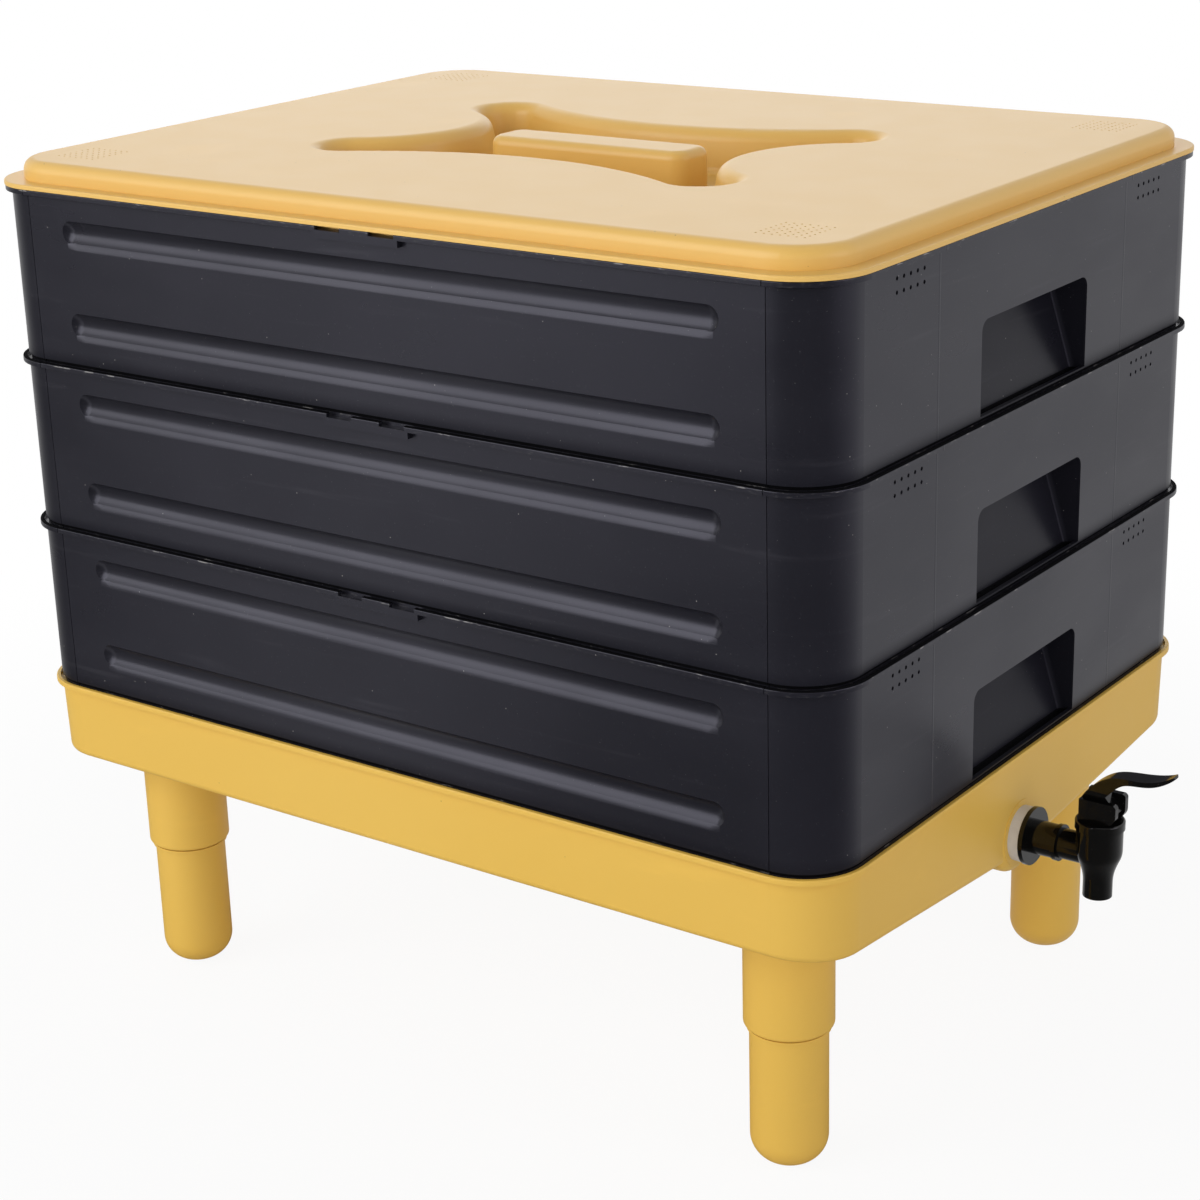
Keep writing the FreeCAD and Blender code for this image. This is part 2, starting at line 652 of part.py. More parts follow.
def lid():
    """The lid: flange, raised panel with a round shoulder, finger well with its bar, and a locating rib."""
    flange_z = top_rim_z
    floor_z = lid_top_z - WELL_DEPTH
    panel_x = lid_half_x - PANEL_INSET
    panel_y = lid_half_y - PANEL_INSET
    flange_top = flange_z + FLANGE_THICKNESS
    flange = rounded_block(lid_half_x, lid_half_y, CORNER_RADIUS + LID_OVERHANG, flange_z, flange_top)
    flange = flange.makeFillet(LIP_ROUND, edges_at(flange, lambda b: b.ZMin > flange_top - 0.01))
    panel = rounded_block(panel_x, panel_y, PANEL_CORNER, flange_z, lid_top_z)
    panel = panel.makeFillet(SHOULDER_ROUND, edges_at(panel, lambda b: b.ZMin > lid_top_z - 0.01))
    roof_z = lid_top_z - WALL
    cavity = rounded_block(panel_x - WALL, panel_y - WALL, PANEL_CORNER - WALL, flange_z - 1, roof_z)
    cup = well_block(WALL, floor_z - WALL, lid_top_z - WALL / 2)
    slope = WELL_TAPER / WELL_DEPTH
    gusset_z = roof_z - WELL_GUSSET
    gusset_low = lobed_outline(WALL - slope * (lid_top_z - gusset_z), gusset_z)
    gusset_high = lobed_outline(WALL + WELL_GUSSET, roof_z + WALL / 2)
    cup = cup.fuse(Part.makeLoft([gusset_low, gusset_high], True, True))
    outside = panel.cut(cavity).fuse(flange.cut(cavity)).fuse(cup)
    well = well_block(0, floor_z, lid_top_z)
    well = well.makeFillet(WELL_FLOOR_ROUND, edges_at(well, lambda b: b.ZMax < floor_z + 0.01))
    shell = outside.cut(well)
    near_x = LOBE_X + 2 * LOBE_RADIUS
    upper = edges_at(shell, lambda b: b.ZMin > lid_top_z - 0.01)
    mouth = [edge for edge in upper if max(abs(edge.BoundBox.XMin), abs(edge.BoundBox.XMax)) < near_x]
    mouth = [edge for edge in mouth if edge.BoundBox.YLength < 2 * (LOBE_Y + LOBE_RADIUS)]
    mouth = [edge for edge in mouth if abs(edge.CenterOfMass.y) < LOBE_Y + 2 * LOBE_RADIUS]
    shell = shell.makeFillet(WELL_EDGE_ROUND, mouth)
    bar_x = BAR_LENGTH / 2
    bar_y = BAR_WIDTH / 2
    bar = rounded_block(bar_x, bar_y, BAR_CORNER, floor_z - WALL / 2, lid_top_z)
    bar = bar.makeFillet(BAR_EDGE_ROUND, edges_at(bar, lambda b: b.ZMin > lid_top_z - 0.01))
    core = rounded_block(bar_x - WALL, bar_y - WALL, BAR_CORNER - WALL, floor_z - WALL - 1, lid_top_z - WALL)
    shell = shell.fuse(bar).cut(core)
    rib_low = flange_z - LID_RIB_DEPTH
    rib = tray_block(-WALL - LID_RIB_GAP, rib_low, flange_z)
    rib = rib.cut(tray_block(-WALL - LID_RIB_GAP - LID_RIB_THICKNESS, rib_low - 1, flange_z + 1))
    return shell.fuse(rib).removeSplitter()


def ring_x(outer, inner, start_x, end_x):
    """A ring about the tap's axis."""
    hole = rod(inner, (start_x - 1, 0, tap_z), (end_x + 1, 0, tap_z))
    return rod(outer, (start_x, 0, tap_z), (end_x, 0, tap_z)).cut(hole)


def tap_body():
    """Threaded tail, flange, shank and the upright body with its chamber, seat and nozzle."""
    nozzle = NOZZLE_DIAMETER / 2
    body = TAP_BODY_DIAMETER / 2
    waist = nozzle_z + NOZZLE_LENGTH
    full_z = tap_z + BODY_FULL_ABOVE_AXIS
    curve = Part.BSplineCurve()
    rise = full_z - waist
    swell = body - nozzle
    points = [
        (nozzle, waist),
        (nozzle + 0.25 * swell, waist + 0.4 * rise),
        (body - 0.3 * swell, full_z - 0.33 * rise),
        (body, full_z),
    ]
    curve.interpolate(
        [Vector(tap_x + radius, 0, z) for radius, z in points],
        InitialTangent=UP,
        FinalTangent=UP,
    )
    over = [(body, full_z), (body, bonnet_z), (0, bonnet_z)]
    under = [(0, nozzle_z), (nozzle, nozzle_z), (nozzle, waist)]
    path = [Vector(tap_x + radius, 0, z) for radius, z in over + under]
    lines = [Part.LineSegment(a, b).toShape() for a, b in zip(path, path[1:])]
    face = Part.Face(Part.Wire(Part.__sortEdges__([curve.toShape()] + lines)))
    upright = face.revolve(Vector(tap_x, 0, 0), UP, 360)
    shank_start = flange_x + TAP_FLANGE_THICKNESS
    collar_x = shank_start + SHANK_COLLAR_PLACE * TAP_REACH
    collar_end = collar_x + SHANK_COLLAR_LENGTH
    tail_x = boss_face_x - TAP_BOSS_THICKNESS - NUT_THICKNESS - TAIL_END
    solid = rod(THREAD_DIAMETER / 2, (tail_x, 0, tap_z), (flange_x, 0, tap_z))
    solid = solid.fuse(rod(TAP_FLANGE_DIAMETER / 2, (flange_x, 0, tap_z), (shank_start, 0, tap_z)))
    solid = solid.fuse(rod(SHANK_DIAMETER / 2, (shank_start, 0, tap_z), (collar_x, 0, tap_z)))
    solid = solid.fuse(rod(SHANK_COLLAR_DIAMETER / 2, (collar_x, 0, tap_z), (collar_end, 0, tap_z)))
    solid = solid.fuse(rod(SHANK_NECK_DIAMETER / 2, (collar_x, 0, tap_z), (tap_x, 0, tap_z)))
    solid = solid.fuse(upright)
    solid = solid.cut(rod(CHAMBER_DIAMETER / 2, (tap_x, 0, seat_z), (tap_x, 0, bonnet_z + 1)))
    solid = solid.cut(rod(SEAT_HOLE / 2, (tap_x, 0, nozzle_z - 1), (tap_x, 0, bonnet_z)))
    solid = solid.cut(rod(NOZZLE_BORE / 2, (tap_x, 0, nozzle_z - 1), (tap_x, 0, seat_z - SEAT_THICKNESS)))
    solid = solid.cut(rod(WATERWAY_DIAMETER / 2, (tail_x - 1, 0, tap_z), (tap_x, 0, tap_z)))
    return solid.removeSplitter()


def tap_nut():
    """The lock nut inside the base."""
    face_x = boss_face_x - TAP_BOSS_THICKNESS
    corners = []
    for step in range(7):
        turn = math.radians(60 * step + 30)
        radius = NUT_ACROSS_FLATS / math.sqrt(3)
        y = radius * math.cos(turn)
        corners.append(Vector(face_x - NUT_THICKNESS, y, tap_z + radius * math.sin(turn)))
    nut = Part.Face(Part.makePolygon(corners)).extrude(Vector(NUT_THICKNESS, 0, 0))
    return nut.cut(rod(THREAD_DIAMETER / 2, (face_x - NUT_THICKNESS - 1, 0, tap_z), (face_x + 1, 0, tap_z)))


def ear(side):
    """One cheek of the bonnet: square above, round below at the lever's end, and taller on the far side."""
    inner = side * EAR_GAP / 2
    outer = side * (EAR_GAP / 2 + EAR_THICKNESS)
    low_y = min(inner, outer)
    high_y = max(inner, outer)
    top = ear_z + EAR_HEIGHT + max(0, side) * EAR_TALLER
    block = box((tap_x - EAR_REAR, low_y, ear_z - BONNET_ROOF / 2), (pivot_x, high_y, top))
    brow = box((pivot_x, low_y, pivot_z), (pivot_x + EAR_ROUND, high_y, top))
    corner = edges_at(brow, lambda b: b.ZMin > top - 0.01 and b.XMin > pivot_x + EAR_ROUND - 0.01)
    brow = brow.makeFillet(EAR_CORNER, corner)
    round_end = rod(EAR_ROUND, (pivot_x, low_y, pivot_z), (pivot_x, high_y, pivot_z))
    depth = EAR_GAP / 2 + 0.7 * EAR_THICKNESS
    hole = rod(TRUNNION_DIAMETER / 2 + TRUNNION_GAP, (pivot_x, -depth, pivot_z), (pivot_x, depth, pivot_z))
    return block.fuse(brow).fuse(round_end).cut(hole)


def tap_bonnet():
    """The cap that closes the chamber, guides the stem and carries the lever."""
    radius = BONNET_DIAMETER / 2
    cap = rod(radius, (tap_x, 0, bonnet_z), (tap_x, 0, ear_z))
    cap = cap.makeFillet(BONNET_EDGE_ROUND, edges_at(cap, lambda b: b.ZMin > ear_z - 0.01))
    plug_z = bonnet_z - BONNET_PLUG_DEPTH
    roof_z = bonnet_z + BONNET_ROOF
    cap = cap.fuse(rod(CHAMBER_DIAMETER / 2 - BONNET_PLUG_GAP, (tap_x, 0, plug_z), (tap_x, 0, roof_z)))
    for side in (-1, 1):
        cap = cap.fuse(ear(side))
    cap = cap.cut(rod(SPRING_DIAMETER / 2 + SPRING_ROOM, (tap_x, 0, plug_z - 1), (tap_x, 0, roof_z)))
    return cap.cut(rod(STEM_BORE / 2, (tap_x, 0, bonnet_z - 1), (tap_x, 0, ear_z + 1))).removeSplitter()


def tap_stem():
    """The stem: foot in the seat cup, spring collar, round shaft, flat blade and cross pin."""
    radius = STEM_DIAMETER / 2
    collar_low = seat_z + CUP_HEIGHT
    shaft_top = ear_z - STEM_SHOULDER
    stem = rod(radius, (tap_x, 0, seat_z + CUP_HEIGHT / 2), (tap_x, 0, shaft_top))
    stem = stem.fuse(rod(SPRING_DIAMETER / 2, (tap_x, 0, collar_low), (tap_x, 0, collar_low + STEM_COLLAR)))
    half = BLADE_THICKNESS / 2
    wide = BLADE_WIDTH / 2
    blade = box((tap_x - wide, -half, shaft_top - 1), (tap_x + wide, half, pivot_z + CROSS_PIN_DIAMETER))
    stem = stem.fuse(blade)
    reach = LEVER_WIDTH / 2 - CROSS_PIN_SHORT
    stem = stem.fuse(rod(CROSS_PIN_DIAMETER / 2, (tap_x, -reach, pivot_z), (tap_x, reach, pivot_z)))
    return stem.removeSplitter()


def tap_seat_cup():
    """The rubber cup that closes the seat; the stem's foot sits in it."""
    top = seat_z + CUP_HEIGHT
    cup = rod(CUP_DIAMETER / 2, (tap_x, 0, seat_z), (tap_x, 0, top))
    cup = cup.makeFillet(CUP_ROUND, edges_at(cup, lambda b: b.ZMin > top - 0.01))
    return cup.cut(rod(STEM_DIAMETER / 2, (tap_x, 0, seat_z + CUP_HEIGHT / 2), (tap_x, 0, top + 1)))


def tap_spring():
    """The coil spring between the stem's collar and the bonnet."""
    wire = SPRING_WIRE / 2
    low = seat_z + CUP_HEIGHT + STEM_COLLAR + SPRING_GAP + wire
    high = bonnet_z + BONNET_ROOF - SPRING_GAP - wire
    radius = SPRING_DIAMETER / 2 - wire
    helix = Part.makeHelix((high - low) / SPRING_TURNS, high - low, radius)
    helix.translate(Vector(tap_x, 0, low))
    corners = [(-wire, -wire), (wire, -wire), (wire, wire), (-wire, wire), (-wire, -wire)]
    section = Part.makePolygon([Vector(tap_x + radius + x, 0, low + z) for x, z in corners])
    return Part.Wire(helix.Edges).makePipeShell([section], True, True)


def side_points(places):
    """Places given as (along, up) from the lever's pivot, in the tap's middle plane."""
    return [Vector(pivot_x + x, 0, pivot_z + z) for x, z in places]


def smooth(points):
    """A smooth curve through points."""
    curve = Part.BSplineCurve()
    curve.interpolate(points)
    return curve.toShape()


def tap_lever():
    """The lever: a root between the ears with trunnions and a slot for the stem, and a swept handle."""
    hub = LEVER_HUB
    rear = -LEVER_REAR
    below = (
        LEVER_UNDERSIDE[-1],
        (0.35 * hub, 0.9 * hub),
        (hub, 0),
        (0.7 * hub, -0.7 * hub),
        (0, -hub),
        (rear + 1.3, -hub),
        (rear, 1.3 - hub),
        LEVER_TOP[0],
    )
    path = side_points(below)
    edges = [Part.LineSegment(a, b).toShape() for a, b in zip(path, path[1:])]
    top = side_points(LEVER_TOP)
    under = side_points(LEVER_UNDERSIDE)
    edges += [smooth(top), Part.LineSegment(top[-1], under[0]).toShape(), smooth(under)]
    side = Part.Face(Part.Wire(Part.__sortEdges__(edges)))
    wide = LEVER_WIDTH / 2 + 2
    side.translate(Vector(0, -wide, 0))
    lever = side.extrude(Vector(0, 2 * wide, 0))
    far = [Vector(pivot_x + x, y, 0) for x, y in LEVER_PLAN]
    near = [Vector(pivot_x + x, -y, 0) for x, y in reversed(LEVER_PLAN)]
    end = Part.Arc(far[-1], Vector(pivot_x + LEVER_REACH, 0, 0), near[0]).toShape()
    back = Part.LineSegment(near[-1], far[0]).toShape()
    outline = Part.Face(Part.Wire([smooth(far), end, smooth(near), back]))
    lever = lever.common(outline.extrude(Vector(0, 0, 2 * pivot_z)))
    cheek_top = ear_z + EAR_HEIGHT + EAR_TALLER + EAR_CORNER
    cheek = LEVER_WIDTH / 2
    near_x = pivot_x - 2 * LEVER_REAR
    far_x = pivot_x + EAR_ROUND + EAR_CORNER
    for sign in (-1, 1):
        low_y = min(sign * cheek, sign * 3 * cheek)
        lever = lever.cut(box((near_x, low_y, ear_z - 2), (far_x, low_y + 2 * cheek, cheek_top)))
    depth = EAR_GAP / 2 + 0.7 * EAR_THICKNESS - TRUNNION_GAP
    lever = lever.fuse(rod(TRUNNION_DIAMETER / 2, (pivot_x, -depth, pivot_z), (pivot_x, depth, pivot_z)))
    return lever.cut(stem_slot()).removeSplitter()


def stem_slot():
    """The room in the lever's root for the stem's blade and, in each cheek, for its cross pin."""
    swing = math.radians(LEVER_TRAVEL_DEG)
    drift = PIVOT_OFFSET / math.cos(swing) - PIVOT_OFFSET
    half = BLADE_THICKNESS / 2 + CROSS_PIN_GAP
    low = (tap_x - 3 * CROSS_PIN_DIAMETER, -half, ear_z - 2)
    high = (pivot_x - TRUNNION_DIAMETER / 2 - TRUNNION_WALL, half, pivot_z + 2 * CROSS_PIN_DIAMETER)
    slot = box(low, high)
    radius = CROSS_PIN_DIAMETER / 2 + CROSS_PIN_GAP
    start = tap_x - drift - CROSS_PIN_GAP
    for x in (start, tap_x):
        slot = slot.fuse(rod(radius, (x, -LEVER_WIDTH, pivot_z), (x, LEVER_WIDTH, pivot_z)))
    middle = box((start, -LEVER_WIDTH, pivot_z - radius), (tap_x, LEVER_WIDTH, pivot_z + radius))
    return slot.fuse(middle)


def build():
    """Every piece of the composter by name."""
    shell = tray_shell()
    front = panel_front(shell)
    right = end_right(shell)
    tray = {"end_right": right, "end_left": turned(right), "panel_front": front, "panel_back": turned(front)}
    tray["floor"] = tray_floor()
    pieces = {"lid": lid(), "collector_base": collector_base()}
    for number in range(1, TRAY_COUNT + 1):
        for name, shape in tray.items():
            copy = shape.copy()
            copy.translate(Vector(0, 0, (number - 1) * TRAY_PITCH))
            pieces[f"tray_{number}_{name}"] = copy
    for place, x, y in leg_places():
        pieces[f"leg_upper_{place}"] = leg_upper(x, y)
        pieces[f"leg_lower_{place}"] = leg_lower(x, y)
    washer_bore = THREAD_DIAMETER / 2 + TAP_HOLE_GAP
    for number in (1, 2):
        start = boss_face_x + (number - 1) * WASHER_THICKNESS
        end = start + WASHER_THICKNESS
        pieces[f"tap_washer_{number}"] = ring_x(WASHER_DIAMETER / 2, washer_bore, start, end)
    pieces["tap_body"] = tap_body()
    pieces["tap_nut"] = tap_nut()
    pieces["tap_bonnet"] = tap_bonnet()
    pieces["tap_stem"] = tap_stem()
    pieces["tap_seat_cup"] = tap_seat_cup()
    pieces["tap_spring"] = tap_spring()
    pieces["tap_lever"] = tap_lever()
    return pieces


os.makedirs("parts", exist_ok=True)
for name, shape in build().items():
    shape.translate(Vector(-origin_x, 0, 0))
    shape.exportStep(f"parts/{name}.step")
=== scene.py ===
"""Looks for the stacked worm composter: moulded plastics, air holes, wear, studio floor, light and camera."""
import bmesh
import bpy
import math
from mathutils import Matrix, Vector


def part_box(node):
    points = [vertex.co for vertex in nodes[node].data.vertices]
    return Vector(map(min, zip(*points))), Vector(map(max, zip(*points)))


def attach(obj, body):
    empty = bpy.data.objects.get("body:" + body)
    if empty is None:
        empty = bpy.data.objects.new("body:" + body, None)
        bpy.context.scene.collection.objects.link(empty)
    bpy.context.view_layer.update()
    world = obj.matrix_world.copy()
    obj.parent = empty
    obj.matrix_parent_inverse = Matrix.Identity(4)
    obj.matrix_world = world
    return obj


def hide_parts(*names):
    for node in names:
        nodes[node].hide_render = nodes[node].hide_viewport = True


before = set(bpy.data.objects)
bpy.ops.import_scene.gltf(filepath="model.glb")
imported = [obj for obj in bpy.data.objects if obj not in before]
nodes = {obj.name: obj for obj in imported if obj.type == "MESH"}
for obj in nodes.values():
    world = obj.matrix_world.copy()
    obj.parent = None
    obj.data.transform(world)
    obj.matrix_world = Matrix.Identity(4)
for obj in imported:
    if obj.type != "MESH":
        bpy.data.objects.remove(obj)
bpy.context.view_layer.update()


def micron(length):
    """A length taken from the frame, in metres, to the nearest micrometre."""
    return round(length, 6)


# The camera, in metres and degrees, in the composter's own frame
CAMERA_TURN_DEG = 36.246
CAMERA_RISE_DEG = 19.463
CAMERA_ROLL_DEG = -1.694
CAMERA_DISTANCE = 1.455643
CAMERA_TARGET = Vector((-0.045332, -0.003224, 0.218344))
SENSOR_MM = 36.0
LENS_MM = 77.04

# The stack, in metres: a lip runs round each tray's rim. From the frame come the stack's middle, the foot of
# the lowest tray's lip, the trays' pitch and their walls' outer faces, which stand back from the lips
LIP_WIDTH = 0.0034
LIP_HEIGHT = 0.0028
lid_low, lid_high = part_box("lid")
panel_low, panel_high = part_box("tray_1_panel_front")
STACK_CENTRE = Vector((micron((lid_low.x + lid_high.x) / 2), 0.0, 0.0))
LIP_FOOT_Z = micron(panel_high.z) - LIP_HEIGHT
PITCH = micron(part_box("tray_2_panel_front")[1].z - panel_high.z)
WALL_X = micron(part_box("tray_1_end_right")[1].x - STACK_CENTRE.x - LIP_WIDTH)
WALL_Y = micron(-panel_low.y - LIP_WIDTH)

# Bands round the stack, as heights above the foot of the lip below them: a lip's chafed upper edge, the joint
# above it, painted near black as shade, the top of the painted shade on the next tray's foot, and how softly
# the bands end
CHAFED_EDGE = (LIP_HEIGHT - 0.0009, LIP_HEIGHT - 0.0004)
SHADED_JOINT = (LIP_HEIGHT - 0.0003, LIP_HEIGHT + 0.0014)
FOOT_SHADE_TOP = SHADED_JOINT[1] + 0.0080
GRIME_SOFTNESS = 0.0006
BAND_SOFTNESS = 0.0002

# The end walls' moulding lines, each side of the middle, and half the width of one
SEAM_Y = 0.098
SEAM_HALF_WIDTH = 0.0004

# The finger recesses: half their width, and the depths behind the wall's outer face where their reflections
# are dimmed as painted shade
RECESS_Y = 0.0562
RECESS_NEAR = 0.0012
RECESS_FAR = 0.030
RECESS_SOFTNESS = 0.0006

# The lid's fields of air holes: distance of the first hole from the lid's centre, pitch, radius and rows, and
# the length and number of sides of the cylinders that cut them
HOLES_X = 0.2070
HOLES_Y = 0.1440
HOLE_PITCH = 0.0042
HOLE_RADIUS = 0.0006
HOLE_ROWS = 7
HOLE_CUT = 0.008
HOLE_SIDES = 16

# The grooves' rolled lower edges: their heights above the foot of the lip below, half their length, the
# stretch at each end over which a roll fades to a small share of its depth, how far the bar that cuts one
# stands out of the wall, and its section, as depth into the wall and height above the edge
GROOVE_EDGES = (0.0195, 0.0689)
ROLL_END = 0.202
ROLL_FADE = 0.006
ROLL_END_SHARE = 0.03
ROLL_OUTSIDE = 0.001
ROLL_SECTION = (
    (-0.00005, -0.0037), (0.00010, -0.0024), (0.00036, -0.0012),
    (0.00080, 0.0), (0.00112, 0.0006), (0.00130, 0.0009),
)

# Carved pieces: vertices this close are one. Faces whose normals differ by less than the flat angle make one
# flat, and an edge over the sharp angle isn't smoothed
WELD = 0.000001
FLAT_COSINE = math.cos(math.radians(0.3))
SHARP_COSINE = math.cos(math.radians(35.0))

# Colours, as linear red, green and blue
LID_YELLOW = (0.82, 0.508, 0.125)
LID_DEEP_YELLOW = (0.80, 0.485, 0.11)
BASE_YELLOW = (0.81, 0.51, 0.088)
BASE_DEEP_YELLOW = (0.78, 0.475, 0.075)
CHARCOAL = (0.0112, 0.0111, 0.0156)
CHARCOAL_DRIFT = (0.0155, 0.0152, 0.0210)
CHARCOAL_STREAK = (0.043, 0.042, 0.050)
CHARCOAL_GRAIN = (0.039, 0.038, 0.045)
CHARCOAL_GLOSS = (0.84, 0.83, 1.0)
GRIME = (0.09, 0.088, 0.085)
CHAFED_PLASTIC = (0.26, 0.25, 0.24)
LARGE_DUST = (0.24, 0.23, 0.22)
SMALL_DUST = (0.18, 0.175, 0.17)
JOINT_SHADE_BLACK = (0.002, 0.002, 0.002)
TAP_BLACK = (0.0040, 0.0038, 0.0036)
TAP_DUST = (0.09, 0.085, 0.08)
WASHER_GREY = (0.66, 0.65, 0.64)
SEAT_BLACK = (0.03, 0.03, 0.03)
STEM_WHITE = (0.70, 0.70, 0.68)
STEEL = (0.55, 0.55, 0.56)
WHITE = (1.0, 1.0, 1.0)
COOL_WHITE = (0.93, 0.87, 1.0)

# Materials: the plain specular level, how much the yellow's roughness drifts, the middle part of a noise's
# values, and the Mix node's colour sockets, which share their names with its float and vector ones
PLAIN_SPECULAR = 0.5
YELLOW_DRIFT = 0.015
NOISE_MIDDLE = (0.3, 0.7)
MIX_FIRST = 6
MIX_SECOND = 7
MIX_RESULT = 2

# The studio: half the floor's side, its colour, the world's light, the compass angles of the dark side that
# the front long wall mirrors and of a patch within it that glows brighter in reflections, and the point that
# the lamps aim at
FLOOR_REACH = 6.0
FLOOR_COLOUR = 0.86
WORLD_LIGHT = 0.38
DARK_SIDE_DEG = 278.0
GLOW_DEG = 237.0
LAMP_AIM = (0.0, 0.0, 0.28)


def link(obj):
    """Puts a new object in the scene."""
    bpy.context.scene.collection.objects.link(obj)
    return obj


def shade(colour, factor):
    """A colour made paler or deeper by a factor."""
    return tuple(min(1.0, factor * part) for part in colour)


class Graph:
    """Short ways to build shader nodes in one tree."""

    def __init__(self, tree):
        self.tree = tree

    def node(self, kind, **values):
        """A new node, with values for its sockets or its settings."""
        node = self.tree.nodes.new(kind)
        for name, value in values.items():
            if name in node.inputs:
                node.inputs[name].default_value = value
            else:
                setattr(node, name, value)
        return node

    def feed(self, socket, source):
        """Sets a socket to a number, or links it to another node's output."""
        if isinstance(source, (int, float)):
            socket.default_value = source
        else:
            self.tree.links.new(source, socket)

    def math(self, operation, first, second=0.0):
        """A Math node on two numbers or outputs."""
        node = self.node("ShaderNodeMath", operation=operation)
        self.feed(node.inputs[0], first)
        self.feed(node.inputs[1], second)
        return node.outputs[0]

    def times(self, first, second):
        """The product of two numbers or outputs."""
        return self.math("MULTIPLY", first, second)

    def vector_math(self, operation, first, second=None):
        """A Vector Math node on an output and, where it takes one, a fixed vector."""
        node = self.node("ShaderNodeVectorMath", operation=operation)
        self.feed(node.inputs[0], first)
        if second is not None:
            node.inputs[1].default_value = second
        return node

    def steps(self, source, low, high, to_low=0.0, to_high=1.0):
        """A smooth step: to_low where the source is under low, to_high where it is over high."""
        ends = {"From Min": low, "From Max": high, "To Min": to_low, "To Max": to_high}
        step = self.node("ShaderNodeMapRange", interpolation_type="SMOOTHSTEP", **ends)
        self.feed(step.inputs["Value"], source)
        return step.outputs["Result"]

    def towards(self, vector, degrees):
        """How far a direction points to a compass angle, from -1 to 1."""
        angle = math.radians(degrees)
        heading = (math.cos(angle), math.sin(angle), 0.0)
        return self.vector_math("DOT_PRODUCT", vector, heading).outputs["Value"]


class Plastic(Graph):
    """A moulded plastic built up from a base colour, with tone drift, fine grain and wear."""

    def __init__(self, name, colour, roughness, specular=PLAIN_SPECULAR):
        self.material = bpy.data.materials.new(name)
        self.material.use_nodes = True
        super().__init__(self.material.node_tree)
        self.shader = self.tree.nodes["Principled BSDF"]
        self.shader.inputs["Base Color"].default_value = (*colour, 1.0)
        self.shader.inputs["Roughness"].default_value = roughness
        self.shader.inputs["Specular IOR Level"].default_value = specular
        self.colour = None
        self.normal = None
        self.place = self.node("ShaderNodeTexCoord").outputs["Object"]
        split = self.node("ShaderNodeSeparateXYZ")
        self.feed(split.inputs[0], self.place)
        self.x, self.y, self.z = split.outputs

    def noise(self, scale, detail=2.0, across=1.0):
        """Noise that an across under 1 draws out sideways."""
        mapping = self.node("ShaderNodeMapping", Scale=(across, across, 1.0))
        self.feed(mapping.inputs["Vector"], self.place)
        noise = self.node("ShaderNodeTexNoise", Scale=scale, Detail=detail)
        self.feed(noise.inputs["Vector"], mapping.outputs["Vector"])
        return noise.outputs["Fac"]

    def patches(self, scale, low, high, share, detail=2.0, across=1.0):
        """A mask of noise: 0 where the noise is under low, rising to share where it is over high."""
        return self.steps(self.noise(scale, detail, across), low, high, to_high=share)

    def specks(self, scale, radius, share):
        """A mask of round specks of a radius in metres, in a share of the cells, scale to the metre."""
        cells = self.node("ShaderNodeTexVoronoi", Scale=scale)
        self.feed(cells.inputs["Vector"], self.place)
        reach = radius * scale
        near = self.steps(cells.outputs["Distance"], 0.6 * reach, reach, 1.0, 0.0)
        pick = self.node("ShaderNodeSeparateColor")
        self.feed(pick.inputs[0], cells.outputs["Color"])
        return self.times(near, self.math("LESS_THAN", pick.outputs[0], share))

    def band(self, source, low, high, soft):
        """1 between low and high, fading out over soft on both sides."""
        rise = self.steps(source, low - soft, low)
        fall = self.steps(source, high, high + soft, 1.0, 0.0)
        return self.times(rise, fall)

    def strongest(self, *masks):
        """The strongest of several masks, each given with its share."""
        best = 0.0
        for mask, share in masks:
            best = self.math("MAXIMUM", best, self.times(mask, share))
        return best

    def blend_colour(self, mask, colour):
        """Mixes a colour into the base colour by a mask."""
        mix = self.node("ShaderNodeMix", data_type="RGBA")
        if self.colour is None:
            mix.inputs[MIX_FIRST].default_value = self.shader.inputs["Base Color"].default_value
        else:
            self.feed(mix.inputs[MIX_FIRST], self.colour)
        mix.inputs[MIX_SECOND].default_value = (*colour, 1.0)
        self.feed(mix.inputs["Factor"], mask)
        self.colour = mix.outputs[MIX_RESULT]
        self.feed(self.shader.inputs["Base Color"], self.colour)

    def bump(self, source, strength, depth):
        """Adds a bump of a depth in metres to those before it."""
        bump = self.node("ShaderNodeBump", Strength=strength, Distance=depth)
        self.feed(bump.inputs["Height"], source)
        if self.normal is not None:
            self.feed(bump.inputs["Normal"], self.normal)
        self.normal = bump.outputs["Normal"]
        self.feed(self.shader.inputs["Normal"], self.normal)

    def grain(self, scale, strength, depth, detail=2.0):
        """Adds a bump made of noise."""
        self.bump(self.noise(scale, detail), strength, depth)

    def uneven(self, scale, least, most, detail=3.0, across=1.0):
        """A roughness that drifts between least and most."""
        return self.steps(self.noise(scale, detail, across), *NOISE_MIDDLE, least, most)

    def set_roughness(self, source):
        """Links the roughness to an output."""
        self.feed(self.shader.inputs["Roughness"], source)

    def set_specular(self, source):
        """Links the specular level to an output."""
        self.feed(self.shader.inputs["Specular IOR Level"], source)


